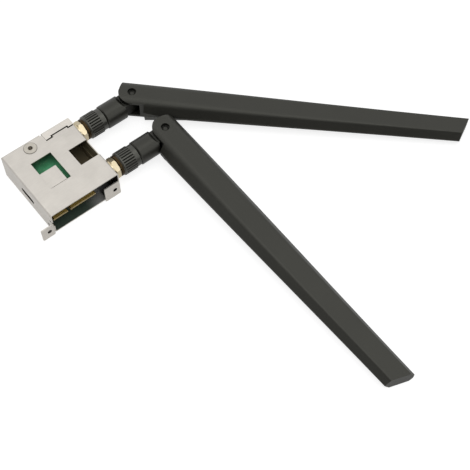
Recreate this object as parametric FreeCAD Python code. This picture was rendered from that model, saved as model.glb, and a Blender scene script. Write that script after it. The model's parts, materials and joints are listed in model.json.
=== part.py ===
import FreeCAD, Part
import math
import os

from FreeCAD import Vector

# Plug-in wireless network module: a folded sheet cage holds an edge-connector radio card,
# two bulkhead coax jacks leave one side wall, and a folding paddle antenna screws onto each.
# Millimetres. +Z up with the module lying on its broad side, +X out along the jacks,
# -Y towards the open side with the card's contacts. Origin: middle of the cage's underside.

# Cage
CAGE_X = 31.8
CAGE_Y = 35.4
CAGE_Z = 12.5
SHEET = 0.5
BEND = 0.9
SHEET_GAP = 0.05
LEFT = -CAGE_X / 2
RIGHT = CAGE_X / 2
FRONT = -CAGE_Y / 2
BACK = CAGE_Y / 2
TOP_INNER = CAGE_Z - SHEET

# Window with its uncut tab, measured from the cage's left and front faces
WINDOW_LEFT = LEFT + 7.5
WINDOW_FRONT = FRONT + 10.5
WINDOW_X = 9.2
WINDOW_Y = 14.7
TAB_X = 7.4
TAB_Y = 8.3
TAB_SLIT = 0.14
TAB_SCORE_X = 0.2
TAB_SCORE_Z = 0.06

# Notch that opens the top face at the jack wall
NOTCH_X = 9.0
NOTCH_Y = 9.0
NOTCH_FRONT = FRONT + 12.4
NOTCH_DROP = 1.6

# Slot in the left wall
SLOT_LENGTH = 8.8
SLOT_HEIGHT = 2.6
SLOT_FRONT = FRONT + 13.3
SLOT_Z = 5.85

# Flap of the lower sheet that closes over the top face, with its stepped seam
FLAP_LEFT = LEFT + 18.7
FLAP_Y = 4.5
SEAM_GAP = 0.6
FLAP_END_GAP = 0.08
SEAM_STEP = 0.8
STEP_LEFT = LEFT + 21.5
STEP_X = 7.5
RELIEF_X = 0.8
RELIEF_Y = 1.2
RELIEF_Z = 1.5
CORNER_SLIT = 0.12

# Upturned lips of the lower sheet, inside the cage's side walls
LIP_Z = 4.4
LIP_Z_AT_JACK = 1.2
LIP_CUT_HALF = 5.4

# Two screw feet on the open side
FOOT_HOLE_Z = 4.2
FOOT_HOLE_SPACING = 31.0
FOOT_HOLE_R = 0.9
FOOT_COLLAR_R = 1.5
FOOT_COLLAR_Y = 0.8
FOOT_CORNER = 0.4
LEFT_FOOT_X = 5.4
LEFT_FOOT_LOW = 0.5
LEFT_FOOT_HIGH = 7.4
LEFT_HOLE_OUT = 2.0
RIGHT_FOOT_X = 7.6
RIGHT_FOOT_LOW = 0.1
RIGHT_FOOT_HIGH = 8.4
FOOT_RELIEF_Y = 1.2
FOOT_RELIEF_Z = 0.4
FOOT_RELIEF_R = 0.5

# Radio card: standard 22 x 30 mm card with one key notch
CARD_X = 22.0
CARD_Y = 30.0
CARD_T = 0.8
CARD_SIDE_GAP = 0.06
CARD_RECESS = 1.7
TONGUE_X = 19.85
TONGUE_Y = 4.0
KEY_X = 1.2
KEY_Y = 3.5
KEY_OFFSET = -2.625
CARD_HOLE_R = 1.75
CARD_LEFT = LEFT + SHEET + CARD_SIDE_GAP
CARD_MID = CARD_LEFT + CARD_X / 2
CARD_EDGE = FRONT + CARD_RECESS
CARD_HOLE_Y = CARD_EDGE + CARD_Y
CONTACT_PITCH = 0.5
CONTACT_X = 0.35
CONTACT_Y = 2.2
CONTACT_T = 0.04
CONTACT_INSET = 0.05
CONTACT_COUNT = 38
CONTACT_KEY_GAP = 0.15

# Spacer riveted into the top face, and the screw that holds the card to it
SPACER_LENGTH = 5.3
SPACER_R = 2.6
SPACER_BORE_R = 1.0
RIVET_SHANK_R = 2.0
RIVET_HEAD_R = 2.8
RIVET_HEAD_T = 0.14
RIVET_CHAMFER = 0.08
RIVET_GAP = 0.02
SCREW_GAP = 0.05
SCREW_HEAD_R = 2.2
SCREW_HEAD_T = 0.8
SCREW_CHAMFER = 0.3
SCREW_LENGTH = 3.6
SCREW_SLOT_X = 0.5
SCREW_SLOT_Z = 0.4
CARD_TOP = TOP_INNER - SPACER_LENGTH
CARD_BOTTOM = CARD_TOP - CARD_T

# Shield can and snap-on coax connectors on the card's lower side
CAN_X = 15.0
CAN_Y = 15.5
CAN_Z = 1.5
CAN_WALL = 0.2
CAN_CORNER = 1.0
CAN_LEFT = CARD_LEFT + 2.2
CAN_FRONT = CARD_EDGE + 7.0
SNAP_IN = 19.6
REAR_SNAP_BACK = 24.4
FRONT_SNAP_BACK = 20.0
SNAP_X = CARD_LEFT + SNAP_IN
SNAP_Y = {"rear": CARD_EDGE + REAR_SNAP_BACK, "front": CARD_EDGE + FRONT_SNAP_BACK}
SNAP_BASE = 2.6
SNAP_BASE_T = 0.35
SNAP_RING_R = 1.0
SNAP_RING_WALL = 0.2
SNAP_RING_Z = 0.9
SNAP_PIN_R = 0.25
PLUG_R = 1.4
PLUG_WALL = 0.3
PLUG_ROOF = 0.35
PLUG_GAP = 0.05
TAIL_X = 1.5
TAIL_LENGTH = 1.4
REAR_TAIL_TURN = 48.0
FRONT_TAIL_TURN = -42.0
TAIL_TURN = {"rear": REAR_TAIL_TURN, "front": FRONT_TAIL_TURN}

# Jacks: a quarter-inch threaded barrel through the side wall
JACK_Z = 6.2
REAR_JACK_BACK = 30.3
FRONT_JACK_BACK = 7.2
JACK_Y = {"rear": FRONT + REAR_JACK_BACK, "front": FRONT + FRONT_JACK_BACK}
JACK_R = 3.1
JACK_OUT = 10.4
JACK_FLANGE_FLATS = 8.0
JACK_FLANGE_T = 1.5
JACK_TAIL_R = 1.2
JACK_TAIL = 1.4
JACK_BORE_R = 2.3
JACK_BORE_DEPTH = 8.2
JACK_CHAMFER = 0.4
JACK_HOLE_GAP = 0.15
WIRE_R = 0.565
FERRULE_R = 1.6
FERRULE_LENGTH = 3.0
WIRE_LEAD = 1.6
WIRE_BAY = 1.25
INSULATOR_LENGTH = 5.4
CONTACT_PIN_R = 0.45
CONTACT_PIN_OUT = 2.2
WASHER_R = 3.95
WASHER_T = 1.2
WASHER_SPLIT = 0.5
WASHER_SPLIT_SLANT = 25.0
NUT_FLATS = 8.0
NUT_T = 2.0
NUT_CHAMFER = 0.35
THREAD_GAP = 0.04

# Screw collar of each antenna, with its brass coupling nut
COLLAR_START = 4.5
COLLAR_LENGTH = 8.2
COLLAR_R = 5.06
COLLAR_NEAR_CHAMFER = 0.5
COLLAR_RING = 2.0
COLLAR_RING_R = 4.72
COLLAR_PLAIN = 1.0
RIB_COUNT = 28
RIB_DEPTH = 0.3
RIB_HALF = 0.3
COUPLING_START = 3.35
COUPLING_R = 3.75
COUPLING_RIM_R = 4.55
COUPLING_BACK = 0.6
COUPLING_RUN_GAP = 0.1
COUPLING_SEAT_GAP = 0.02

# Antenna plug, swivel base and hinge
PLUG_TIP_R = 2.2
PLUG_TIP_BORE_R = 1.5
PLUG_TIP_LENGTH = 2.6
PLUG_FLANGE_R = 3.0
PLUG_FLANGE_T = 0.4
PLUG_FACE_GAP = 0.05
PLUG_NECK_R = 2.4
PLUG_IN_BASE = 4.0
SOCKET_R = 0.8
SOCKET_INSET = 0.4
SOCKET_RUN_GAP = 0.05
SOCKET_END_GAP = 0.4
BASE_GAP = 0.3
BASE_R = 5.12
BASE_CHAMFER = 0.4
HINGE_OUT = 28.2
ROOT_END = 5.6
KNUCKLE_R = 5.0
KNUCKLE_GAP = 0.45
TONGUE_T = 6.4
TONGUE_HALF = 3.4
SHOULDER = 1.4
PIN_R = 1.25
PIN_RUN_GAP = 0.05
PIN_SEAT_GAP = 0.02
PIN_RECESS = 1.5
PIN_RECESS_R = 1.8
PIN_SINK = 1.25
PIN_CHAMFER = 0.35

# Antenna blade: a flattened hexagon across, its sizes running from the root's to the tip's
BLADE_LENGTH = 137.8
ROOT_WIDTH = 16.0
ROOT_FLAT = 9.0
ROOT_THICKNESS = 11.6
ROOT_FLAT_R = 4.5
ROOT_SIDE_R = 2.2
TIP_WIDTH = 11.5
TIP_FLAT = 7.35
TIP_THICKNESS = 6.3
TIP_FLAT_R = 0.3
TIP_SIDE_R = 0.4
# share of the length, then how far the width and the thickness have gone from root to tip there
BLADE_STATIONS = (
    (-0.065, 0.0, 0.0),
    (0.10, 0.055, 0.19),
    (0.305, 0.21, 0.46),
    (0.595, 0.55, 0.75),
    (1.044, 1.0, 1.0),
)
TIP_SLANT = 20.0
TIP_PLAN = 11.8
TIP_CORNER = 1.0
ROOT_SLANT = 10.0
ROOT_STEP = 5.6
HEEL_REACH = 7.1
HEEL_LENGTH = 18.0
HEEL_FOOT = 5.7
HEEL_RISE = 0.2
HEEL_FADE = 0.84
POCKET_GAP = 0.3
CHEEK_GAP = 0.2
CORE_X = 6.4
CORE_Z = 3.0
CORE_START = 4.0
CORE_TIP_WALL = 9.0
RADIATOR_T = 0.8
RADIATOR_X = 5.8
RADIATOR_LENGTH = 96.0
RADIATOR_START = 14.0

# How the antennas lie: fold angle from straight, and the gap that the tip leaves to the floor
FOLD_CLICK = 45.0
FOLD_PLAY = 0.65
FOLD = {"rear": FOLD_CLICK - FOLD_PLAY, "front": 2 * FOLD_CLICK - FOLD_PLAY}
TIP_FLOOR_GAP = 0.3

SIDES = ("rear", "front")
X_AXIS = Vector(1, 0, 0)
Y_AXIS = Vector(0, 1, 0)
Z_AXIS = Vector(0, 0, 1)
OVER = 1.0


def box(x0, x1, y0, y1, z0, z1):
    return Part.makeBox(x1 - x0, y1 - y0, z1 - z0, Vector(x0, y0, z0))


def rod_x(radius, x0, x1, y=0.0, z=0.0):
    return Part.makeCylinder(radius, x1 - x0, Vector(x0, y, z), X_AXIS)


def rod_y(radius, y0, y1, x, z):
    return Part.makeCylinder(radius, y1 - y0, Vector(x, y0, z), Y_AXIS)


def rod_z(radius, z0, z1, x=0.0, y=0.0):
    return Part.makeCylinder(radius, z1 - z0, Vector(x, y, z0), Z_AXIS)


def hex_x(flats, x0, x1, y, z):
    corner = flats / math.sqrt(3)
    points = []
    for k in range(7):
        turn = math.radians(60 * k)
        points.append(Vector(x0, y + corner * math.sin(turn), z + corner * math.cos(turn)))
    return Part.Face(Part.makePolygon(points)).extrude(Vector(x1 - x0, 0, 0))


def fillet_where(shape, radius, test):
    edges = [edge for edge in shape.Edges if test(edge)]
    return shape.makeFillet(radius, edges)


def runs_along(edge, axis):
    if not isinstance(edge.Curve, Part.Line):
        return False
    return abs(abs(edge.Curve.Direction.dot(axis)) - 1) < 1e-6


def middle(edge):
    return edge.CenterOfMass


def near(a, b):
    return abs(a - b) < 1e-6


# Folded cage

def folded_cap(x0, x1, y0, y1, z0, z1, radius):
    """Block whose top edges are rounded on the left, right and back, as the sheet is folded."""
    block = box(x0, x1, y0, y1, z0, z1)

    def is_fold(edge):
        spot = middle(edge)
        if not near(spot.z, z1):
            return False
        return near(spot.x, x0) or near(spot.x, x1) or near(spot.y, y1)

    return fillet_where(block, radius, is_fold)


def stepped_edge(back_from, inset, z0, z1):
    """Block behind the stepped seam, used both to cut the top face and to trim the flap."""
    seam = BACK - back_from
    main = box(FLAP_LEFT - OVER * 4, RIGHT + OVER, seam, BACK + OVER, z0, z1)
    tongue = box(STEP_LEFT + inset, STEP_LEFT + STEP_X - inset, seam - OVER, seam + SEAM_STEP, z0, z1)
    return main.cut(tongue)


def left_foot():
    y0 = FRONT - SHEET
    profile = Part.makePolygon([
        Vector(LEFT - LEFT_FOOT_X, y0, LEFT_FOOT_LOW), Vector(LEFT + SHEET, y0, LEFT_FOOT_LOW),
        Vector(LEFT + SHEET, FRONT + BEND, LEFT_FOOT_LOW), Vector(LEFT, FRONT + BEND, LEFT_FOOT_LOW),
        Vector(LEFT, FRONT, LEFT_FOOT_LOW), Vector(LEFT - LEFT_FOOT_X, FRONT, LEFT_FOOT_LOW),
        Vector(LEFT - LEFT_FOOT_X, y0, LEFT_FOOT_LOW)])
    foot = Part.Face(profile).extrude(Vector(0, 0, LEFT_FOOT_HIGH - LEFT_FOOT_LOW))
    return bent_foot(foot, LEFT + SHEET, LEFT, LEFT - LEFT_FOOT_X, LEFT - LEFT_HOLE_OUT)


def right_foot():
    y0 = FRONT - SHEET
    wall = RIGHT - SHEET
    profile = Part.makePolygon([
        Vector(RIGHT - RIGHT_FOOT_X, y0, RIGHT_FOOT_LOW), Vector(RIGHT, y0, RIGHT_FOOT_LOW),
        Vector(RIGHT, FRONT + BEND, RIGHT_FOOT_LOW), Vector(wall, FRONT + BEND, RIGHT_FOOT_LOW),
        Vector(wall, FRONT, RIGHT_FOOT_LOW), Vector(RIGHT - RIGHT_FOOT_X, FRONT, RIGHT_FOOT_LOW),
        Vector(RIGHT - RIGHT_FOOT_X, y0, RIGHT_FOOT_LOW)])
    foot = Part.Face(profile).extrude(Vector(0, 0, RIGHT_FOOT_HIGH - RIGHT_FOOT_LOW))
    hole_x = LEFT - LEFT_HOLE_OUT + FOOT_HOLE_SPACING
    return bent_foot(foot, RIGHT, wall, RIGHT - RIGHT_FOOT_X, hole_x)


def bent_foot(foot, outer_x, inner_x, free_x, hole_x):
    """Round the bend and the free corners of a foot, and give it its drawn screw hole."""
    def upright(edge, x, y):
        return runs_along(edge, Z_AXIS) and near(middle(edge).x, x) and near(middle(edge).y, y)

    foot = fillet_where(foot, BEND, lambda e: upright(e, outer_x, FRONT - SHEET))
    foot = fillet_where(foot, BEND - SHEET, lambda e: upright(e, inner_x, FRONT))
    foot = fillet_where(foot, FOOT_CORNER, lambda e: runs_along(e, Y_AXIS) and near(middle(e).x, free_x))
    foot = foot.fuse(rod_y(FOOT_COLLAR_R, FRONT, FRONT + FOOT_COLLAR_Y, hole_x, FOOT_HOLE_Z))
    drill_end = FRONT + FOOT_COLLAR_Y + OVER
    return foot.cut(rod_y(FOOT_HOLE_R, FRONT - SHEET - OVER, drill_end, hole_x, FOOT_HOLE_Z))


def upper_cage():
    outer = folded_cap(LEFT, RIGHT, FRONT, BACK, 0, CAGE_Z, BEND)
    inner = folded_cap(LEFT + SHEET, RIGHT - SHEET, FRONT - OVER, BACK - SHEET, -OVER, TOP_INNER,
                       BEND - SHEET)
    cage = outer.cut(inner)
    # room for the lower sheet's back wall and flap
    flap_room = stepped_edge(FLAP_Y + SEAM_GAP / 2, SEAM_GAP / 2, TOP_INNER - SHEET_GAP, CAGE_Z + OVER)
    flap_end = FLAP_LEFT - FLAP_END_GAP
    cage = cage.cut(flap_room.cut(box(LEFT, flap_end, FRONT, BACK + OVER * 2, 0, CAGE_Z + OVER)))
    cage = cage.cut(box(flap_end, RIGHT + OVER, BACK - SHEET - SHEET_GAP, BACK + OVER, -OVER, CAGE_Z + OVER))
    cage = cage.cut(box(flap_end, RIGHT - SHEET, BACK - FLAP_Y + SEAM_STEP, BACK + OVER,
                        CAGE_Z - BEND - SHEET_GAP, TOP_INNER))
    cage = cage.cut(box(flap_end - RELIEF_X, FLAP_LEFT, BACK - RELIEF_Y, BACK + OVER,
                        CAGE_Z - RELIEF_Z, CAGE_Z + OVER))
    cage = cage.cut(box(LEFT + SHEET, LEFT + SHEET + CORNER_SLIT, BACK - SHEET - OVER / 2, BACK + OVER,
                        -OVER, CAGE_Z - BEND))
    # window with its tab, the score line where the tab hinges, and the notch at the jack wall
    window = box(WINDOW_LEFT, WINDOW_LEFT + WINDOW_X, WINDOW_FRONT, WINDOW_FRONT + WINDOW_Y,
                 TOP_INNER - OVER, CAGE_Z + OVER)
    tab = box(WINDOW_LEFT - OVER, WINDOW_LEFT + TAB_X, WINDOW_FRONT + TAB_SLIT, WINDOW_FRONT + TAB_Y,
              TOP_INNER - OVER, CAGE_Z + OVER)
    cage = cage.cut(window.cut(tab))
    cage = cage.cut(box(WINDOW_LEFT - 2 * TAB_SCORE_X, WINDOW_LEFT - TAB_SCORE_X, WINDOW_FRONT + TAB_SCORE_X,
                        WINDOW_FRONT + TAB_Y - TAB_SCORE_X, CAGE_Z - TAB_SCORE_Z, CAGE_Z + OVER))
    cage = cage.cut(box(RIGHT - NOTCH_X, RIGHT + OVER, NOTCH_FRONT, NOTCH_FRONT + NOTCH_Y,
                        CAGE_Z - NOTCH_DROP, CAGE_Z + OVER))
    # slot in the left wall with round ends
    half = SLOT_HEIGHT / 2
    slot = box(LEFT - OVER, LEFT + SHEET + OVER, SLOT_FRONT + half, SLOT_FRONT + SLOT_LENGTH - half,
               SLOT_Z - half, SLOT_Z + half)
    for end in (SLOT_FRONT + half, SLOT_FRONT + SLOT_LENGTH - half):
        slot = slot.fuse(rod_x(half, LEFT - OVER, LEFT + SHEET + OVER, end, SLOT_Z))
    cage = cage.cut(slot)
    # rivet hole and jack holes
    cage = cage.cut(rod_z(RIVET_SHANK_R + RIVET_GAP, TOP_INNER - OVER, CAGE_Z + OVER, CARD_MID, CARD_HOLE_Y))
    for side in SIDES:
        cage = cage.cut(rod_x(JACK_R + JACK_HOLE_GAP, RIGHT - SHEET - OVER, RIGHT + OVER,
                              JACK_Y[side], JACK_Z))
    # feet, with the relief cut above the left one
    cage = cage.cut(box(LEFT - OVER, LEFT + SHEET + OVER, FRONT - OVER, FRONT + FOOT_RELIEF_Y,
                        LEFT_FOOT_HIGH, LEFT_FOOT_HIGH + FOOT_RELIEF_Z))
    cage = cage.cut(rod_x(FOOT_RELIEF_R, LEFT - OVER, LEFT + SHEET + OVER, FRONT + FOOT_RELIEF_Y,
                          LEFT_FOOT_HIGH + FOOT_RELIEF_Z / 2))
    cage = cage.cut(box(LEFT - OVER, LEFT + SHEET + OVER, FRONT - OVER, FRONT + BEND, -OVER, LEFT_FOOT_HIGH))
    cage = cage.cut(box(RIGHT - SHEET - OVER, RIGHT + OVER, FRONT - OVER, FRONT + BEND,
                        -OVER, RIGHT_FOOT_HIGH))
    return cage.fuse([left_foot(), right_foot()]).removeSplitter()


def lower_cage():
    x0 = LEFT + SHEET + SHEET_GAP
    x1 = RIGHT - SHEET - SHEET_GAP
    y1 = BACK - SHEET - SHEET_GAP
    y0 = FRONT + BEND - SHEET + SHEET_GAP
    tray = box(x0, x1, y0, y1, 0, LIP_Z)
    tray = fillet_where(tray, BEND, lambda e: runs_along(e, Y_AXIS) and near(middle(e).z, 0))
    room = box(x0 + SHEET, x1 - SHEET, y0 - OVER, y1 + OVER, SHEET, LIP_Z + OVER)
    room = fillet_where(room, BEND - SHEET, lambda e: runs_along(e, Y_AXIS) and near(middle(e).z, SHEET))
    tray = tray.cut(room)
    for side in SIDES:
        tray = tray.cut(box(x1 - SHEET - SHEET_GAP, x1 + OVER, JACK_Y[side] - LIP_CUT_HALF,
                            JACK_Y[side] + LIP_CUT_HALF, LIP_Z_AT_JACK, LIP_Z + OVER))
    # back wall that rises and folds over the top as the flap
    reach = FLAP_Y + OVER * 2
    wrap = box(FLAP_LEFT, RIGHT, BACK - reach, BACK, 0, CAGE_Z)
    inside = BACK - SHEET
    wrap = fillet_where(wrap, BEND, lambda e: runs_along(e, X_AXIS) and near(middle(e).y, BACK))
    hollow = box(FLAP_LEFT - OVER, RIGHT + OVER, BACK - reach - OVER, inside, SHEET, TOP_INNER)
    hollow = fillet_where(hollow, BEND - SHEET, lambda e: runs_along(e, X_AXIS) and near(middle(e).y, inside))
    wrap = wrap.cut(hollow)
    above = box(FLAP_LEFT - OVER, RIGHT + OVER, BACK - reach - OVER, BACK + OVER,
                TOP_INNER - SHEET_GAP, CAGE_Z + OVER)
    flap = wrap.common(above).common(stepped_edge(FLAP_Y - SEAM_GAP / 2, -SEAM_GAP / 2, 0, CAGE_Z + OVER))
    wall = wrap.cut(above).cut(box(x1, RIGHT + OVER, BACK - reach - OVER, y1, -OVER, TOP_INNER))
    return tray.fuse([wall, flap]).removeSplitter()


# Radio card

def card_board():
    y0, y1 = CARD_EDGE, CARD_EDGE + CARD_Y
    board = box(CARD_LEFT, CARD_LEFT + CARD_X, y0, y1, CARD_BOTTOM, CARD_TOP)
    shoulder = (CARD_X - TONGUE_X) / 2
    for x0 in (CARD_LEFT - OVER, CARD_LEFT + CARD_X - shoulder):
        board = board.cut(box(x0, x0 + shoulder + OVER, y0 - OVER, y0 + TONGUE_Y, CARD_BOTTOM - OVER,
                              CARD_TOP + OVER))
    key_mid = CARD_MID + KEY_OFFSET
    half = KEY_X / 2
    key = box(key_mid - half, key_mid + half, y0 - OVER, y0 + KEY_Y - half,
              CARD_BOTTOM - OVER, CARD_TOP + OVER)
    key = key.fuse(rod_z(half, CARD_BOTTOM - OVER, CARD_TOP + OVER, key_mid, y0 + KEY_Y - half))
    board = board.cut(key)
    return board.cut(rod_z(CARD_HOLE_R, CARD_BOTTOM - OVER, CARD_TOP + OVER, CARD_MID, CARD_HOLE_Y))


def edge_contacts():
    """Gold contact pads on both faces of the card's tongue, left out at the key."""
    pads = []
    first = -CONTACT_PITCH * (CONTACT_COUNT - 1) / 2
    clear = KEY_X / 2 + CONTACT_KEY_GAP + CONTACT_X / 2
    for face_z, shift in ((CARD_TOP, 0.0), (CARD_BOTTOM - CONTACT_T, CONTACT_PITCH / 2)):
        for k in range(CONTACT_COUNT):
            x = first + CONTACT_PITCH * k - shift
            if abs(x - KEY_OFFSET) < clear or abs(x) + CONTACT_X / 2 > TONGUE_X / 2:
                continue
            mid = CARD_MID + x
            pads.append(box(mid - CONTACT_X / 2, mid + CONTACT_X / 2, CARD_EDGE + CONTACT_INSET,
                            CARD_EDGE + CONTACT_INSET + CONTACT_Y, face_z, face_z + CONTACT_T))
    return Part.makeCompound(pads)


def spacer():
    body = rod_z(SPACER_R, CARD_TOP, TOP_INNER, CARD_MID, CARD_HOLE_Y)
    shank = rod_z(RIVET_SHANK_R, TOP_INNER, CAGE_Z, CARD_MID, CARD_HOLE_Y)
    head_top = CAGE_Z + RIVET_HEAD_T
    head = rod_z(RIVET_HEAD_R, CAGE_Z, head_top, CARD_MID, CARD_HOLE_Y)
    head = head.makeChamfer(RIVET_CHAMFER, [e for e in head.Edges if near(middle(e).z, head_top)])
    bore = rod_z(SPACER_BORE_R, CARD_TOP - OVER, CAGE_Z + OVER, CARD_MID, CARD_HOLE_Y)
    return body.fuse([shank, head]).cut(bore).removeSplitter()


def card_screw():
    head_low = CARD_BOTTOM - SCREW_HEAD_T
    head = rod_z(SCREW_HEAD_R, head_low, CARD_BOTTOM, CARD_MID, CARD_HOLE_Y)
    head = head.makeChamfer(SCREW_CHAMFER, [e for e in head.Edges if near(middle(e).z, head_low)])
    shank = rod_z(SPACER_BORE_R - SCREW_GAP, CARD_BOTTOM, CARD_BOTTOM + SCREW_LENGTH, CARD_MID, CARD_HOLE_Y)
    slots = []
    for length, width in ((SCREW_HEAD_R, SCREW_SLOT_X), (SCREW_SLOT_X, SCREW_HEAD_R)):
        slots.append(box(CARD_MID - length / 2, CARD_MID + length / 2, CARD_HOLE_Y - width / 2,
                         CARD_HOLE_Y + width / 2, head_low - OVER, head_low + SCREW_SLOT_Z))
    return head.fuse(shank).cut(slots[0].fuse(slots[1])).removeSplitter()


def shield_can():
    x1, y1 = CAN_LEFT + CAN_X, CAN_FRONT + CAN_Y
    can = box(CAN_LEFT, x1, CAN_FRONT, y1, CARD_BOTTOM - CAN_Z, CARD_BOTTOM)
    can = fillet_where(can, CAN_CORNER, lambda e: runs_along(e, Z_AXIS))
    room = box(CAN_LEFT + CAN_WALL, x1 - CAN_WALL, CAN_FRONT + CAN_WALL, y1 - CAN_WALL,
               CARD_BOTTOM - CAN_Z + CAN_WALL, CARD_BOTTOM + OVER)
    return can.cut(fillet_where(room, CAN_CORNER - CAN_WALL, lambda e: runs_along(e, Z_AXIS)))


def snap_receptacles():
    parts = []
    for side in SIDES:
        y = SNAP_Y[side]
        base_low = CARD_BOTTOM - SNAP_BASE_T
        base = box(SNAP_X - SNAP_BASE / 2, SNAP_X + SNAP_BASE / 2, y - SNAP_BASE / 2, y + SNAP_BASE / 2,
                   base_low, CARD_BOTTOM)
        ring = rod_z(SNAP_RING_R, base_low - SNAP_RING_Z, base_low, SNAP_X, y)
        ring = ring.cut(rod_z(SNAP_RING_R - SNAP_RING_WALL, base_low - SNAP_RING_Z, base_low, SNAP_X, y))
        pin = rod_z(SNAP_PIN_R, base_low - SNAP_RING_Z, base_low, SNAP_X, y)
        parts.append(base.fuse([ring, pin]).removeSplitter())
    return Part.makeCompound(parts)


SNAP_LOW = CARD_BOTTOM - SNAP_BASE_T - SNAP_RING_Z
WIRE_Z = SNAP_LOW - PLUG_GAP - PLUG_ROOF + WIRE_R
FERRULE_END = RIGHT - SHEET - JACK_FLANGE_T - FERRULE_LENGTH
TAIL_END = PLUG_R + TAIL_LENGTH


def tail_point(side, distance):
    turn = math.radians(TAIL_TURN[side])
    return Vector(SNAP_X + distance * math.cos(turn), SNAP_Y[side] + distance * math.sin(turn), WIRE_Z)


def snap_plugs():
    parts = []
    for side in SIDES:
        y = SNAP_Y[side]
        low = SNAP_LOW - PLUG_GAP - PLUG_ROOF
        high = CARD_BOTTOM - SNAP_BASE_T - PLUG_GAP
        cap = rod_z(PLUG_R, low, high, SNAP_X, y)
        cap = cap.cut(rod_z(PLUG_R - PLUG_WALL, low + PLUG_ROOF, high + OVER, SNAP_X, y))
        tail = box(SNAP_X + PLUG_R - PLUG_WALL / 2, SNAP_X + TAIL_END, y - TAIL_X / 2, y + TAIL_X / 2,
                   low, high)
        tail = fillet_where(tail, PLUG_WALL, lambda e: runs_along(e, X_AXIS))
        tail.rotate(Vector(SNAP_X, y, 0), Z_AXIS, TAIL_TURN[side])
        hole = Part.makeCylinder(WIRE_R, TAIL_LENGTH + OVER, tail_point(side, TAIL_END - TAIL_LENGTH / 2),
                                 tail_point(side, 1) - tail_point(side, 0))
        parts.append(cap.fuse(tail).cut(hole).removeSplitter())
    return Part.makeCompound(parts)


def rounded_path(points, share=0.45):
    """Wire of straight runs joined by tangent arcs, each as large as its two runs allow."""
    edges = []
    start = points[0]
    for before, corner, after in zip(points, points[1:], points[2:]):
        way_in = (corner - before).normalize()
        way_out = (after - corner).normalize()
        half_turn = way_in.getAngle(way_out) / 2
        tangent = share * min((corner - before).Length, (after - corner).Length)
        radius = tangent / math.tan(half_turn)
        enter = corner - way_in * tangent
        leave = corner + way_out * tangent
        inward = (way_out - way_in).normalize()
        centre = corner + inward * (radius / math.cos(half_turn))
        edges.append(Part.LineSegment(start, enter).toShape())
        edges.append(Part.Arc(enter, centre - inward * radius, leave).toShape())
        start = leave
    edges.append(Part.LineSegment(start, points[-1]).toShape())
    return Part.Wire(edges)


def pigtail(side):
    """Thin coax from a snap plug on the card to the jack, the front one along the bay beside the card."""
    end = Vector(FERRULE_END + FERRULE_LENGTH / 2, JACK_Y[side], JACK_Z)
    first = tail_point(side, TAIL_END - TAIL_LENGTH / 2)
    leave = tail_point(side, TAIL_END + WIRE_LEAD)
    turn = Vector(CARD_LEFT + CARD_X + WIRE_BAY, JACK_Y[side], JACK_Z)
    path = rounded_path([first, leave, turn, end])
    start_way = path.Edges[0].tangentAt(path.Edges[0].FirstParameter)
    ring = Part.Wire(Part.makeCircle(WIRE_R, first, start_way))
    return path.makePipeShell([ring], True, False)


# Jacks in the side wall

def jack(side):
    y = JACK_Y[side]
    inside = RIGHT - SHEET
    flange = hex_x(JACK_FLANGE_FLATS, inside - JACK_FLANGE_T, inside, y, JACK_Z)
    mouth = RIGHT + JACK_OUT
    barrel = rod_x(JACK_R, inside, mouth, y, JACK_Z)
    barrel = barrel.makeChamfer(JACK_CHAMFER, [e for e in barrel.Edges if near(middle(e).x, mouth)])
    tail = rod_x(JACK_TAIL_R, inside - JACK_FLANGE_T - JACK_TAIL, inside - JACK_FLANGE_T, y, JACK_Z)
    body = flange.fuse([barrel, tail])
    body = body.cut(rod_x(JACK_BORE_R, mouth - JACK_BORE_DEPTH, mouth + OVER, y, JACK_Z))
    wire_hole = rod_x(WIRE_R, inside - JACK_FLANGE_T - JACK_TAIL - OVER, inside, y, JACK_Z)
    return body.cut(wire_hole).removeSplitter()


def jack_insulators():
    parts = []
    start = RIGHT + JACK_OUT - JACK_BORE_DEPTH
    for side in SIDES:
        plug = rod_x(JACK_BORE_R - PIN_SEAT_GAP, start, start + INSULATOR_LENGTH, JACK_Y[side], JACK_Z)
        parts.append(plug.cut(rod_x(CONTACT_PIN_R, start, start + INSULATOR_LENGTH, JACK_Y[side], JACK_Z)))
    return Part.makeCompound(parts)


def jack_contacts():
    start = RIGHT + JACK_OUT - JACK_BORE_DEPTH
    return Part.makeCompound([rod_x(CONTACT_PIN_R, start, start + INSULATOR_LENGTH + CONTACT_PIN_OUT,
                                    JACK_Y[side], JACK_Z) for side in SIDES])


def crimp_ferrules():
    parts = []
    for side in SIDES:
        sleeve = rod_x(FERRULE_R, FERRULE_END, FERRULE_END + FERRULE_LENGTH, JACK_Y[side], JACK_Z)
        sleeve = sleeve.cut(rod_x(JACK_TAIL_R, FERRULE_END + FERRULE_LENGTH - JACK_TAIL,
                                  FERRULE_END + FERRULE_LENGTH, JACK_Y[side], JACK_Z))
        parts.append(sleeve.cut(rod_x(WIRE_R, FERRULE_END - OVER, FERRULE_END + FERRULE_LENGTH,
                                      JACK_Y[side], JACK_Z)))
    return Part.makeCompound(parts)


def jack_washers():
    """Split spring washers between the wall and the nuts."""
    parts = []
    for side in SIDES:
        y = JACK_Y[side]
        ring = rod_x(WASHER_R, RIGHT, RIGHT + WASHER_T, y, JACK_Z)
        ring = ring.cut(rod_x(JACK_R + THREAD_GAP, RIGHT - OVER, RIGHT + WASHER_T + OVER, y, JACK_Z))
        split = box(RIGHT - OVER, RIGHT + WASHER_T + OVER, y - WASHER_SPLIT / 2, y + WASHER_SPLIT / 2,
                    JACK_Z - WASHER_R - OVER, JACK_Z)
        split.rotate(Vector(RIGHT + WASHER_T / 2, y, JACK_Z), Z_AXIS, WASHER_SPLIT_SLANT)
        parts.append(ring.cut(split))
    return Part.makeCompound(parts)


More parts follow.
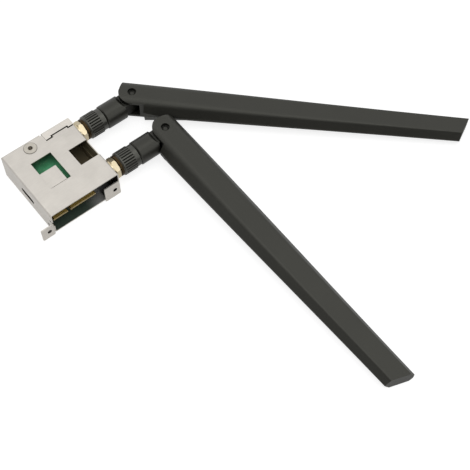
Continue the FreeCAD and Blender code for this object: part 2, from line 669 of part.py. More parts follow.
def jack_nuts():
    parts = []
    x0 = RIGHT + WASHER_T
    x1 = x0 + NUT_T
    corner = NUT_FLATS / math.sqrt(3)
    for side in SIDES:
        y = JACK_Y[side]
        nut = hex_x(NUT_FLATS, x0, x1, y, JACK_Z)
        trim = rod_x(corner, x0, x1, y, JACK_Z)
        trim = trim.makeChamfer(NUT_CHAMFER, [e for e in trim.Edges if len(e.Vertexes) == 1])
        nut = nut.common(trim)
        parts.append(nut.cut(rod_x(JACK_R + THREAD_GAP, x0 - OVER, x1 + OVER, y, JACK_Z)))
    return Part.makeCompound(parts)


# Antenna, modelled straight along +X with the wall's outer face at x = 0 and its axis at y = z = 0

COLLAR_END = COLLAR_START + COLLAR_LENGTH
PLUG_FACE = JACK_OUT + PLUG_FACE_GAP
PLUG_FLANGE_END = PLUG_FACE + PLUG_FLANGE_T
COUPLING_END = PLUG_FLANGE_END + PLUG_FACE_GAP + COUPLING_BACK
BASE_START = COLLAR_END + BASE_GAP
BASE_END = HINGE_OUT - ROOT_END - KNUCKLE_GAP
PLUG_BACK = BASE_START + PLUG_IN_BASE
SOCKET_START = PLUG_FACE - PLUG_TIP_LENGTH + SOCKET_INSET
NECK_HOLE_R = PLUG_NECK_R + COUPLING_RUN_GAP


def collar():
    body = rod_x(COLLAR_R, COLLAR_START, COLLAR_END)
    body = body.makeChamfer(COLLAR_NEAR_CHAMFER, [e for e in body.Edges if near(middle(e).x, COLLAR_START)])
    # plain ring at the antenna's end, slightly smaller than the ribbed grip
    step = rod_x(COLLAR_R + OVER, COLLAR_END - COLLAR_RING, COLLAR_END)
    body = body.cut(step.cut(rod_x(COLLAR_RING_R, COLLAR_END - COLLAR_RING, COLLAR_END)))
    # straight ribs between V-shaped grooves
    x0 = COLLAR_START + COLLAR_PLAIN
    tip = Vector(x0, 0, COLLAR_R - RIB_DEPTH)
    sides = [Vector(x0, 2 * half, COLLAR_R + RIB_DEPTH) for half in (RIB_HALF, -RIB_HALF)]
    groove = Part.Face(Part.makePolygon([tip] + sides + [tip])).extrude(
        Vector(COLLAR_END - COLLAR_RING - x0, 0, 0))
    grooves = []
    for k in range(RIB_COUNT):
        turned = groove.copy()
        turned.rotate(Vector(0, 0, 0), X_AXIS, 360 * k / RIB_COUNT)
        grooves.append(turned)
    body = body.cut(grooves)
    body = body.cut(rod_x(COUPLING_R + COUPLING_SEAT_GAP, COLLAR_START - OVER, COUPLING_END))
    return body.cut(rod_x(NECK_HOLE_R, COLLAR_START - OVER, COLLAR_END + OVER))


def coupling_nut():
    """Threaded brass sleeve inside the collar, with a rim that shows in front of it."""
    body = rod_x(COUPLING_R, COUPLING_START, COUPLING_END)
    rim = rod_x(COUPLING_RIM_R, COUPLING_START, COLLAR_START)
    rim = rim.makeChamfer(JACK_CHAMFER / 2, [e for e in rim.Edges if near(middle(e).x, COUPLING_START)])
    body = body.fuse(rim)
    body = body.cut(rod_x(JACK_R + COUPLING_RUN_GAP, COUPLING_START - OVER, COUPLING_END - COUPLING_BACK))
    return body.cut(rod_x(NECK_HOLE_R, COUPLING_START - OVER, COUPLING_END + OVER)).removeSplitter()


def antenna_plug():
    tip = rod_x(PLUG_TIP_R, PLUG_FACE - PLUG_TIP_LENGTH, PLUG_FACE)
    flange = rod_x(PLUG_FLANGE_R, PLUG_FACE, PLUG_FLANGE_END)
    neck = rod_x(PLUG_NECK_R, PLUG_FLANGE_END, PLUG_BACK)
    body = tip.fuse([flange, neck])
    bore = rod_x(PLUG_TIP_BORE_R, PLUG_FACE - PLUG_TIP_LENGTH - OVER, PLUG_BACK + OVER)
    return body.cut(bore).removeSplitter()


def plug_insulator():
    body = rod_x(PLUG_TIP_BORE_R - PIN_SEAT_GAP, SOCKET_START, PLUG_BACK)
    return body.cut(rod_x(SOCKET_R + PIN_SEAT_GAP, SOCKET_START - OVER, PLUG_BACK + OVER))


def plug_contact():
    """Centre socket that takes the jack's pin."""
    body = rod_x(SOCKET_R, SOCKET_START, PLUG_BACK)
    pin_end = JACK_OUT - JACK_BORE_DEPTH + INSULATOR_LENGTH + CONTACT_PIN_OUT
    return body.cut(rod_x(CONTACT_PIN_R + SOCKET_RUN_GAP, SOCKET_START - OVER, pin_end + SOCKET_END_GAP))


def swivel_base():
    drum = rod_x(BASE_R, BASE_START, BASE_END)
    drum = drum.makeChamfer(BASE_CHAMFER, [e for e in drum.Edges if near(middle(e).x, BASE_START)])
    # the end slopes in from top and bottom to the hinge tongue
    slope_top = BASE_R - SHOULDER
    side = -BASE_R - OVER
    high = BASE_R + OVER
    profile = Part.makePolygon([
        Vector(BASE_END - SHOULDER, side, high), Vector(BASE_END - SHOULDER, side, BASE_R),
        Vector(BASE_END, side, slope_top), Vector(BASE_END, side, high),
        Vector(BASE_END - SHOULDER, side, high)])
    wedge = Part.Face(profile).extrude(Vector(0, -2 * side, 0))
    drum = drum.cut([wedge, wedge.mirror(Vector(0, 0, 0), Z_AXIS)])
    half = TONGUE_T / 2
    tongue = box(BASE_END - OVER, HINGE_OUT, -TONGUE_HALF, TONGUE_HALF, -half, half)
    tongue = tongue.fuse(rod_z(TONGUE_HALF, -half, half, HINGE_OUT))
    body = drum.fuse(tongue)
    body = body.cut(rod_z(PIN_R + PIN_RUN_GAP, -BASE_R, BASE_R, HINGE_OUT))
    return body.cut(rod_x(PLUG_NECK_R, BASE_START - OVER, PLUG_BACK)).removeSplitter()


def between(root, tip, share):
    return root + (tip - root) * share


def blade_section(place, width_share, thick_share):
    """Flattened hexagon across the blade with rounded corners, at a share of the blade's length."""
    along = place * BLADE_LENGTH
    width = between(ROOT_WIDTH, TIP_WIDTH, width_share)
    flat = between(ROOT_FLAT, TIP_FLAT, width_share)
    thickness = between(ROOT_THICKNESS, TIP_THICKNESS, thick_share)
    flat_radius = between(ROOT_FLAT_R, TIP_FLAT_R, thick_share)
    side_radius = between(ROOT_SIDE_R, TIP_SIDE_R, thick_share)
    corners = [(flat, thickness, flat_radius), (-flat, thickness, flat_radius), (-width, 0, side_radius),
               (-flat, -thickness, flat_radius), (flat, -thickness, flat_radius), (width, 0, side_radius)]
    spots = [(Vector(along, y / 2, z / 2), radius) for y, z, radius in corners]
    edges = []
    arcs = []
    for k, (corner, radius) in enumerate(spots):
        way_in = (corner - spots[k - 1][0]).normalize()
        way_out = (spots[(k + 1) % len(spots)][0] - corner).normalize()
        half_turn = way_in.getAngle(way_out) / 2
        tangent = radius * math.tan(half_turn)
        inward = (way_out - way_in).normalize()
        crown = corner + inward * (radius / math.cos(half_turn) - radius)
        arcs.append((corner - way_in * tangent, crown, corner + way_out * tangent))
    for k, (enter, crown, leave) in enumerate(arcs):
        edges.append(Part.Arc(enter, crown, leave).toShape())
        edges.append(Part.LineSegment(leave, arcs[(k + 1) % len(arcs)][0]).toShape())
    return Part.Wire(edges)


def blade_outline():
    """Plan of the blade: slanted tip, rounded knuckle and the step that clears the swivel base."""
    wide = ROOT_WIDTH
    half = TIP_PLAN / 2
    slant = half * math.tan(math.radians(TIP_SLANT))
    tip_far = Vector(BLADE_LENGTH + slant, half, -wide)
    tip_near = Vector(BLADE_LENGTH - slant, -half, -wide)
    corner = Vector(-ROOT_END + wide * math.tan(math.radians(ROOT_SLANT)), wide, -wide)
    end = Vector(-ROOT_END, 0, -wide)
    centre = KNUCKLE_R - ROOT_END
    diagonal = KNUCKLE_R / math.sqrt(2)
    crown = Vector(centre - diagonal, -diagonal, -wide)
    under = Vector(centre, -KNUCKLE_R, -wide)
    step_in = Vector(ROOT_STEP, -KNUCKLE_R, -wide)
    step_out = Vector(ROOT_STEP, -wide, -wide)
    edges = [Part.LineSegment(tip_near, tip_far), Part.LineSegment(tip_far, corner),
             Part.LineSegment(corner, end), Part.Arc(end, crown, under), Part.LineSegment(under, step_in),
             Part.LineSegment(step_in, step_out), Part.LineSegment(step_out, tip_near)]
    plan = Part.Face(Part.Wire([edge.toShape() for edge in edges]))
    block = plan.extrude(Vector(0, 0, 2 * wide))
    tip_from = BLADE_LENGTH - wide
    return fillet_where(block, TIP_CORNER, lambda e: runs_along(e, Z_AXIS) and middle(e).x > tip_from)


def heel_cut():
    """Wedge that trims the folding side's ridge beside the step."""
    end = ROOT_STEP + HEEL_LENGTH
    points = [Vector(ROOT_STEP - OVER, -HEEL_REACH, -ROOT_WIDTH), Vector(end, -ROOT_WIDTH / 2, -ROOT_WIDTH),
              Vector(end, -ROOT_WIDTH, -ROOT_WIDTH), Vector(ROOT_STEP - OVER, -ROOT_WIDTH, -ROOT_WIDTH)]
    return Part.Face(Part.makePolygon(points + points[:1])).extrude(Vector(0, 0, 2 * ROOT_WIDTH))


def heel():
    """Fuller lower half of the folding side, which runs out into the blade behind the step."""
    inner = -ROOT_FLAT / 4
    start_low = HEEL_RISE - ROOT_THICKNESS / 2
    start = (ROOT_STEP, HEEL_FOOT, start_low)
    end = (ROOT_STEP + HEEL_LENGTH, ROOT_FLAT / 2, start_low * HEEL_FADE)
    sections = []
    for along, foot, low in (start, end):
        points = [Vector(along, inner, 0), Vector(along, -HEEL_REACH, 0), Vector(along, -foot, low),
                  Vector(along, inner, low)]
        sections.append(Part.makePolygon(points + points[:1]))
    return Part.makeLoft(sections, True, True)


def blade():
    sections = [blade_section(*station) for station in BLADE_STATIONS]
    body = Part.makeLoft(sections, True, False).common(blade_outline()).cut(heel_cut()).fuse(heel())
    # pocket for the hinge tongue, open at the end and on the folding side
    half = TONGUE_T / 2 + CHEEK_GAP
    reach = TONGUE_HALF + POCKET_GAP
    wide = ROOT_WIDTH
    pocket = box(-wide, 0, -wide, reach, -half, half).fuse(box(-wide, reach, -wide, 0, -half, half))
    pocket = pocket.fuse(rod_z(reach, -half, half))
    core = box(CORE_START, BLADE_LENGTH - CORE_TIP_WALL, -CORE_X / 2, CORE_X / 2, -CORE_Z / 2, CORE_Z / 2)
    body = body.cut([pocket, core])
    high = ROOT_THICKNESS
    body = body.cut(rod_z(PIN_R + PIN_SEAT_GAP, -high, high))
    recess_floor = ROOT_THICKNESS / 2 - PIN_RECESS
    return body.cut([rod_z(PIN_RECESS_R, recess_floor, high), rod_z(PIN_RECESS_R, -high, -recess_floor)])


def hinge_pin():
    half = ROOT_THICKNESS / 2 - PIN_SINK
    pin = rod_z(PIN_R, -half, half)
    return pin.makeChamfer(PIN_CHAMFER, [e for e in pin.Edges if len(e.Vertexes) == 1])


def radiator():
    """Printed strip that radiates, held in the blade's core."""
    return box(RADIATOR_START, RADIATOR_START + RADIATOR_LENGTH, -RADIATOR_X / 2, RADIATOR_X / 2,
               -CORE_Z / 2, -CORE_Z / 2 + RADIATOR_T)


def roll_to_floor(side):
    """Turn about the jack's axis that brings the blade's tip down to the floor."""
    drop = JACK_Z - TIP_THICKNESS / 2 - TIP_FLOOR_GAP
    return math.degrees(math.asin(drop / (BLADE_LENGTH * math.sin(math.radians(FOLD[side])))))


def place_on_jack(shape, side, roll=0.0):
    shape = shape.copy()
    shape.rotate(Vector(0, 0, 0), X_AXIS, roll)
    shape.translate(Vector(RIGHT, JACK_Y[side], JACK_Z))
    return shape


def place_blade(shape, side):
    shape = shape.copy()
    shape.rotate(Vector(0, 0, 0), Z_AXIS, -FOLD[side])
    shape.translate(Vector(HINGE_OUT, 0, 0))
    return place_on_jack(shape, side, roll_to_floor(side))


def build():
    nodes = {
        "upper_cage": upper_cage(),
        "lower_cage": lower_cage(),
        "card_board": card_board(),
        "edge_contacts": edge_contacts(),
        "card_spacer": spacer(),
        "card_screw": card_screw(),
        "shield_can": shield_can(),
        "snap_receptacles": snap_receptacles(),
        "snap_plugs": snap_plugs(),
        "jack_insulators": jack_insulators(),
        "jack_contacts": jack_contacts(),
        "crimp_ferrules": crimp_ferrules(),
        "jack_washers": jack_washers(),
        "jack_nuts": jack_nuts(),
    }
    shapes = {"collar": collar(), "coupling_nut": coupling_nut()}
    turning = {"antenna_plug": antenna_plug(), "plug_insulator": plug_insulator(),
               "plug_contact": plug_contact(), "swivel_base": swivel_base()}
    folding = {"blade": blade(), "hinge_pin": hinge_pin(), "radiator": radiator()}
    for side in SIDES:
        nodes[side + "_pigtail"] = pigtail(side)
        nodes[side + "_jack"] = jack(side)
        for name, shape in shapes.items():
            nodes[side + "_" + name] = place_on_jack(shape, side)
        for name, shape in turning.items():
            nodes[side + "_" + name] = place_on_jack(shape, side, roll_to_floor(side))
        for name, shape in folding.items():
            nodes[side + "_" + name] = place_blade(shape, side)
    return nodes


os.makedirs("parts", exist_ok=True)
for node, shape in build().items():
    shape.exportStep("parts/" + node + ".step")
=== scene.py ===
import json
import math

import bpy
from mathutils import Matrix, Vector

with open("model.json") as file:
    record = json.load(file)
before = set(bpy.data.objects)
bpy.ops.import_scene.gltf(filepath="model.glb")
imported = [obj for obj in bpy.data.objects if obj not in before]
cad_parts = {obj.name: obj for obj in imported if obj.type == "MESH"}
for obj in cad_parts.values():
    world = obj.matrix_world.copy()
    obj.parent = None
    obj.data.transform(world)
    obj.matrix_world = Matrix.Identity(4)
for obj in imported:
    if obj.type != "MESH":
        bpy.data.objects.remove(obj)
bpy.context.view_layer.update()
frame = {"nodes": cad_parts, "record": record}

NODES = frame["nodes"]
MM = 0.001
X, Y, Z = range(3)

# A colour Mix node's sockets, by place, because their names repeat
MIX_FIRST, MIX_SECOND, MIX_RESULT = 6, 7, 2
# A face stands where its normal's Z is smaller than this, and otherwise lies flat
STANDING = 0.5
WHITE = (1.0, 1.0, 1.0)


# Node trees

class Tree:
    """A node tree, with short ways to add nodes to it."""

    def __init__(self, tree):
        self.tree = tree

    def node(self, kind, inputs=(), **values):
        """Adds a node, sets its values, and feeds its inputs, which are given by name or by place."""
        made = self.tree.nodes.new(kind)
        for name, value in values.items():
            setattr(made, name, value)
        for socket, value in dict(inputs).items():
            self.feed(made.inputs[socket], value)
        return made

    def feed(self, socket, value):
        """Links another node's output to a socket, or sets the socket to a plain value."""
        if isinstance(value, bpy.types.NodeSocket):
            self.tree.links.new(value, socket)
        elif socket.type == "RGBA":
            socket.default_value = (*value, 1.0)
        else:
            socket.default_value = value

    def math(self, operation, *values):
        return self.node("ShaderNodeMath", enumerate(values), operation=operation).outputs["Value"]

    def vector_math(self, operation, *values, result="Value"):
        return self.node("ShaderNodeVectorMath", enumerate(values), operation=operation).outputs[result]

    def ranged(self, value, low, high, to_low, to_high, interpolation="LINEAR"):
        """Maps low and high to two other values, and stays between those."""
        levels = {"Value": value, "From Min": low, "From Max": high, "To Min": to_low, "To Max": to_high}
        return self.node("ShaderNodeMapRange", levels, interpolation_type=interpolation).outputs["Result"]

    def split(self, vector):
        """A vector's three coordinates."""
        return tuple(self.node("ShaderNodeSeparateXYZ", {"Vector": vector}).outputs)


class Shader(Tree):
    """One procedural material: a Principled shader with textures in the row frame's coordinates."""

    NOISE_ROUGHNESS = 0.55
    CELL_RANDOMNESS = 0.7
    OPENNESS_SAMPLES = 8

    def __init__(self, name, roughness, metallic=0.0, **sockets):
        self.material = bpy.data.materials.new(name)
        self.material.use_nodes = True
        super().__init__(self.material.node_tree)
        self.shader = self.tree.nodes["Principled BSDF"]
        self.shader.inputs["Roughness"].default_value = roughness
        self.shader.inputs["Metallic"].default_value = metallic
        for socket, value in sockets.items():
            self.shader.inputs[socket.replace("_", " ")].default_value = value
        self.place = self.node("ShaderNodeTexCoord").outputs["Object"]

    def noise(self, scale, detail=4.0, stretch=None):
        place = self.place
        if stretch:
            place = self.node("ShaderNodeMapping", {"Vector": place, "Scale": stretch}).outputs["Vector"]
        settings = {"Vector": place, "Scale": scale, "Detail": detail, "Roughness": self.NOISE_ROUGHNESS}
        return self.node("ShaderNodeTexNoise", settings).outputs["Fac"]

    def cells(self, scale, distance):
        settings = {"Vector": self.place, "Scale": scale, "Randomness": self.CELL_RANDOMNESS}
        return self.node("ShaderNodeTexVoronoi", settings, distance=distance).outputs

    def stripes(self, scale, along):
        settings = {"Vector": self.place, "Scale": scale}
        return self.node("ShaderNodeTexWave", settings, wave_type="BANDS", bands_direction=along).outputs["Fac"]

    def openness(self, reach_mm):
        """1 on open faces, towards 0 in gaps and hollows."""
        return self.node("ShaderNodeAmbientOcclusion", {"Distance": reach_mm * MM},
                         samples=self.OPENNESS_SAMPLES).outputs["AO"]

    def tones(self, factor, dark, light, low=0.3, high=0.7):
        """Dark up to the low factor, light from the high one."""
        made = self.node("ShaderNodeValToRGB", {"Fac": factor})
        for element, position, color in zip(made.color_ramp.elements, (low, high), (dark, light)):
            element.position = position
            element.color = (*color, 1.0)
        return made.outputs["Color"]

    def mix(self, factor, first, second, blend="MIX"):
        sockets = {"Factor": factor, MIX_FIRST: first, MIX_SECOND: second}
        return self.node("ShaderNodeMix", sockets, data_type="RGBA", blend_type=blend).outputs[MIX_RESULT]

    def spread(self, factor, low, high):
        return self.ranged(factor, 0.0, 1.0, low, high)

    def above(self, value, limit):
        return self.math("GREATER_THAN", value, limit)

    def under(self, value, limit):
        return self.math("LESS_THAN", value, limit)

    def times(self, *factors):
        total = factors[0]
        for factor in factors[1:]:
            total = self.math("MULTIPLY", total, factor)
        return total

    def axes(self):
        """The row frame's coordinates, in metres."""
        return self.split(self.place)

    def step(self, value, start_mm, end_mm):
        """0 before the start and 1 after the end, in either direction."""
        low, high = sorted((start_mm, end_mm))
        before, after = (0.0, 1.0) if start_mm < end_mm else (1.0, 0.0)
        return self.ranged(value, low * MM, high * MM, before, after, "SMOOTHSTEP")

    def within(self, value, low_mm, high_mm, blur_mm):
        """1 between two places and 0 outside them, with the blur inside."""
        return self.times(self.step(value, low_mm, low_mm + blur_mm),
                          self.step(value, high_mm, high_mm - blur_mm))

    def from_line(self, along, place_mm):
        """Distance in metres from the line along one axis through a place."""
        across = [float(index != along) for index in range(3)]
        point = [side * value * MM for side, value in zip(across, place_mm)]
        flat = self.vector_math("MULTIPLY", self.place, across, result="Vector")
        return self.vector_math("DISTANCE", flat, point)

    def bore(self, along, place_mm, radius_mm, blur_mm):
        """1 in a round hole along one axis, 0 outside it."""
        return self.step(self.from_line(along, place_mm), radius_mm, radius_mm - blur_mm)

    def upright(self):
        """1 on faces that stand, 0 on faces that lie flat."""
        normal = self.node("ShaderNodeNewGeometry").outputs["True Normal"]
        return self.under(self.math("ABSOLUTE", self.split(normal)[Z]), STANDING)

    def color(self, source):
        self.feed(self.shader.inputs["Base Color"], source)

    def roughness(self, source):
        self.feed(self.shader.inputs["Roughness"], source)

    def metallic(self, source):
        self.feed(self.shader.inputs["Metallic"], source)

    def bump(self, height, depth_mm, strength):
        settings = {"Strength": strength, "Distance": depth_mm * MM, "Height": height}
        self.feed(self.shader.inputs["Normal"], self.node("ShaderNodeBump", settings).outputs["Normal"])


# Places on the cage and the card, in millimetres in the row frame. A name that ends in _X, _Y or _Z holds a
# step in tone along that axis, with its start and end, or a band, with its low side, high side and blur.

CAGE_LEFT, CAGE_RIGHT, CAGE_FRONT, CAGE_BACK, CAGE_TOP = -15.9, 15.9, -17.7, 17.7, 12.5
# this much of a wall's thickness counts as its outer face, and twice as much at the open front
SKIN = 0.2
INSIDE_X = (CAGE_LEFT + SKIN, CAGE_RIGHT - SKIN, SKIN)
INSIDE_Y = (CAGE_FRONT + 2 * SKIN, CAGE_BACK - SKIN, SKIN)
INSIDE_Z = (SKIN, CAGE_TOP - SKIN, SKIN)

# holes, whose bores get painted shade, with 0 for the coordinate along each one's axis
FOOT_HOLES = ((-17.9, 0.0, 4.2), (13.1, 0.0, 4.2))
FOOT_HOLE_R = 0.95
FOOT_Y = (CAGE_FRONT + 2.0, CAGE_FRONT + 1.0)
RELIEF_HOLE = (0.0, -16.5, 7.6)
RELIEF_R = 0.55
HOLE_BLUR = 0.02

# the left wall, with a painted dark spot of shade low beside the foot, and the slot's cut faces in painted
# shade
WALL_INNER_X = (CAGE_LEFT + 0.6, CAGE_LEFT + 0.55)
WALL_OUTER_X = (CAGE_LEFT + 0.03, CAGE_LEFT + 0.06)
SPOT = (0.0, -14.3, 2.5)
SPOT_R, SPOT_BLUR = 0.95, 0.1
SLOT_Y, SLOT_Z = (-7.0, 7.0, 0.2), (4.35, 7.35, 0.1)

# the stepped seam between the sheets in the top face, whose cut faces get painted shade
SEAM_X = (CAGE_LEFT + 0.3, CAGE_RIGHT - 0.3, 0.1)
SEAM_FRONT_Y, SEAM_BACK_Y = (9.0, 9.5), (CAGE_BACK - 0.3, CAGE_BACK - 0.4)
SEAM_Z = (CAGE_TOP - 0.6, CAGE_TOP - 0.5)

# the tray's floor near the opening, in painted shade with a painted reflection of the board's green that gives
# way to painted light towards the right foot, and the painted shade behind that foot
TRAY_LIT_X = (0.0, 9.0)
TRAY_X, TRAY_Y, TRAY_Z = (9.4, 8.4), (-9.0, -13.0), (0.9, 0.8)
FOOT_SHADE_X, FOOT_SHADE_Y = (8.0, 8.8), (-5.0, -8.0)

# the spacer's riveted head, and the painted shade of the gap around it, as a step in radius
RIVET = (-4.34, 14.0, 0.0)
RIVET_R = 2.8
RIM = (RIVET_R - 0.24, RIVET_R - 0.12)
RIM_Z = (CAGE_TOP - 0.1, CAGE_TOP)

# the card's contact tongue, and its edge along the left wall
TONGUE_Y = (CAGE_FRONT + 4.6, CAGE_FRONT + 4.4)
CARD_EDGE_X = (CAGE_LEFT + 0.8, CAGE_LEFT + 0.7)


# Materials

# how much brighter each sheet is than plain steel
STEEL_LIFT = {"sheet_steel": 1.0, "flap_steel": 1.14}
STEEL_METAL = 0.88
STEEL_DARK, STEEL_LIGHT = (0.59, 0.558, 0.51), (0.66, 0.624, 0.57)
GRAIN_DARK, GRAIN_LIGHT = (0.42, 0.40, 0.38), (0.92, 0.90, 0.87)
GRAIN_SHARE = 0.10
GRAIN_STRETCH = (0.35, 6.0, 0.6)
# painted shade in the holes, the spot, the slot and the seam
HOLE_SHADE = (0.05, 0.045, 0.04)
# painted shade on the cage's inner faces
INSIDE_SHADE_TONE = (0.205, 0.168, 0.104)
FOOT_SHADE = (0.012, 0.011, 0.010)
# painted shade with a reflection of the board's green, and painted light towards the right foot
TRAY_SHADE_GREEN, TRAY_LIT = (0.060, 0.086, 0.068), (0.38, 0.38, 0.37)


def inside_cage(look):
    """1 within the cage's walls, 0 on its outer faces."""
    x, y, z = look.axes()
    return look.times(look.within(x, *INSIDE_X), look.within(y, *INSIDE_Y), look.within(z, *INSIDE_Z))


def inner_shade(look):
    """The cage's inner faces, which are dull, in painted shade, with a painted green reflection of the board
    and painted light on the tray's floor.
    """
    x, y, z = look.axes()
    # painted shade and reflection deep in the tray, painted light towards the right foot
    tray = look.mix(look.step(x, *TRAY_LIT_X), TRAY_SHADE_GREEN, TRAY_LIT)
    on_tray = look.times(look.step(z, *TRAY_Z), look.step(y, *TRAY_Y), look.step(x, *TRAY_X))
    behind_foot = look.times(look.step(x, *FOOT_SHADE_X), look.step(y, *FOOT_SHADE_Y))
    return look.mix(on_tray, look.mix(behind_foot, INSIDE_SHADE_TONE, FOOT_SHADE), tray)


def shaded_places(look):
    """Masks of painted shade: the holes, the spot on the left wall, and the cut faces of slot and seam."""
    x, y, z = look.axes()
    at_feet = look.step(y, *FOOT_Y)
    for place in FOOT_HOLES:
        yield look.times(look.bore(Y, place, FOOT_HOLE_R, HOLE_BLUR), at_feet)
    yield look.bore(X, RELIEF_HOLE, RELIEF_R, HOLE_BLUR)
    in_wall = look.step(x, *WALL_INNER_X)
    yield look.times(look.bore(X, SPOT, SPOT_R, SPOT_BLUR), in_wall)
    yield look.times(in_wall, look.step(x, *WALL_OUTER_X), look.within(y, *SLOT_Y), look.within(z, *SLOT_Z))
    yield look.times(look.upright(), look.step(z, *SEAM_Z), look.step(y, *SEAM_FRONT_Y),
                     look.step(y, *SEAM_BACK_Y), look.within(x, *SEAM_X))


def sheet_steel(name):
    """Brushed sheet: the lower sheet, with the flap, is a little paler than the upper one."""
    look = Shader(name, roughness=0.36, metallic=STEEL_METAL)
    grain = look.noise(scale=900.0, detail=6.0, stretch=GRAIN_STRETCH)
    clouds = look.noise(scale=140.0, detail=3.0)
    dark, light = ([part * STEEL_LIFT[name] for part in tone] for tone in (STEEL_DARK, STEEL_LIGHT))
    brushed = look.tones(grain, GRAIN_DARK, GRAIN_LIGHT, high=0.75)
    skin = look.mix(GRAIN_SHARE, look.tones(clouds, dark, light), brushed)
    inside = inside_cage(look)
    # the inner faces get painted shade, and the tray's floor painted light and a painted reflection
    skin = look.mix(inside, skin, inner_shade(look))
    # painted shade in the holes, the spot, the slot and the seam
    for mask in shaded_places(look):
        skin = look.mix(mask, skin, HOLE_SHADE)
    look.color(skin)
    look.metallic(look.spread(inside, STEEL_METAL, 0.0))
    look.roughness(look.spread(grain, 0.30, 0.44))
    look.bump(grain, depth_mm=0.004, strength=0.25)
    return look.material


RIVET_DARK, RIVET_LIGHT = (0.50, 0.47, 0.41), (0.60, 0.565, 0.50)
# painted shade of the gap around the rivet's head
RIM_SHADE = (0.16, 0.15, 0.13)


def rivet_steel(name):
    """The spacer's flared head: dull and warm, with painted shade of the gap around it on its rim."""
    look = Shader(name, roughness=0.46, metallic=0.8)
    clouds = look.noise(scale=700.0, detail=5.0)
    height = look.axes()[Z]
    rim = look.times(look.step(look.from_line(Z, RIVET), *RIM), look.step(height, *RIM_Z))
    # painted shade of the gap on the head's rim
    look.color(look.mix(rim, look.tones(clouds, RIVET_DARK, RIVET_LIGHT), RIM_SHADE))
    look.roughness(look.spread(clouds, 0.42, 0.56))
    return look.material


def plated_steel(name):
    look = Shader(name, roughness=0.3, metallic=0.9)
    clouds = look.noise(scale=700.0, detail=5.0)
    look.color(look.tones(clouds, (0.50, 0.48, 0.45), (0.68, 0.66, 0.63)))
    look.roughness(look.spread(clouds, 0.24, 0.4))
    return look.material


RESIST_DARK, RESIST_LIGHT = (0.095, 0.40, 0.175), (0.17, 0.62, 0.315)
TRACE_PATCHES, TRACE_WAVES, VIA_GRID = 330.0, 360.0, 620.0
PATCH_TURNS, TRACE_FROM, VIA_R = 0.5, 0.72, 0.2
TRACE_TONE, TRACE_SHARE = (0.10, 0.56, 0.29), 0.30
VIA_TONE, VIA_SHARE = (0.30, 0.55, 0.30), 0.55
TONGUE_TONE = (0.23, 0.142, 0.035)
LAMINATE, LAMINATE_SHADED = (0.50, 0.36, 0.11), (0.02, 0.02, 0.015)
BOARD_SHADE, BOARD_SHADE_REACH = (0.45, 0.45, 0.45), 8.0


def circuit_board(name):
    look = Shader(name, roughness=0.3, Coat_Weight=0.25, Coat_Roughness=0.15)
    x, y, _ = look.axes()
    face = look.tones(look.noise(scale=260.0), RESIST_DARK, RESIST_LIGHT, high=0.75)
    # traces run along X in some patches of the board and along Y in the others, between round vias
    turned = look.above(look.cells(TRACE_PATCHES, "CHEBYCHEV")["Color"], PATCH_TURNS)
    waves = look.mix(turned, look.stripes(TRACE_WAVES, "X"), look.stripes(TRACE_WAVES, "Y"))
    traces = look.above(waves, TRACE_FROM)
    vias = look.under(look.cells(VIA_GRID, "EUCLIDEAN")["Distance"], VIA_R)
    face = look.mix(look.spread(traces, 0.0, TRACE_SHARE), face, TRACE_TONE)
    face = look.mix(look.spread(vias, 0.0, VIA_SHARE), face, VIA_TONE)
    # the tongue is brown between its contacts, and the faces get painted shade under the cage's top
    face = look.mix(look.step(y, *TONGUE_Y), face, TONGUE_TONE)
    shade = look.tones(look.openness(BOARD_SHADE_REACH), BOARD_SHADE, WHITE, low=0.34, high=0.66)
    face = look.mix(1.0, face, shade, "MULTIPLY")
    # cut edges show the glass-fibre laminate, in the dark along the left wall
    edge = look.mix(look.step(x, *CARD_EDGE_X), LAMINATE, LAMINATE_SHADED)
    look.color(look.mix(look.upright(), face, edge))
    look.bump(traces, depth_mm=0.02, strength=0.4)
    return look.material


GOLD_DARK, GOLD_LIGHT = (0.56, 0.480, 0.325), (0.63, 0.545, 0.38)
GOLD_SHADED = (0.12, 0.09, 0.05)


def gold_plate(name):
    """Bright outside the cage and dark within it."""
    look = Shader(name, roughness=0.2, metallic=1.0)
    clouds = look.noise(scale=380.0, detail=3.0)
    look.color(look.mix(inside_cage(look), look.tones(clouds, GOLD_DARK, GOLD_LIGHT), GOLD_SHADED))
    look.roughness(look.spread(clouds, 0.22, 0.26))
    return look.material


def contact_gold(name):
    look = Shader(name, roughness=0.4, metallic=0.35)
    clouds = look.noise(scale=1500.0)
    look.color(look.tones(clouds, (0.66, 0.46, 0.10), (0.82, 0.60, 0.18)))
    look.roughness(look.spread(clouds, 0.3, 0.5))
    return look.material


def plain_brass(name):
    look = Shader(name, roughness=0.34, metallic=0.95)
    clouds = look.noise(scale=900.0, detail=5.0)
    look.color(look.tones(clouds, (0.022, 0.014, 0.006), (0.075, 0.049, 0.021), high=0.75))
    look.roughness(look.spread(clouds, 0.32, 0.55))
    return look.material


def white_insulator(name):
    look = Shader(name, roughness=0.5)
    look.color(look.tones(look.noise(scale=800.0), (0.74, 0.74, 0.71), (0.86, 0.86, 0.84)))
    return look.material


def cable_jacket(name):
    look = Shader(name, roughness=0.35)
    clouds = look.noise(scale=1500.0)
    look.color(look.tones(clouds, (0.020, 0.014, 0.010), (0.045, 0.032, 0.024)))
    look.bump(clouds, depth_mm=0.02, strength=0.3)
    return look.material


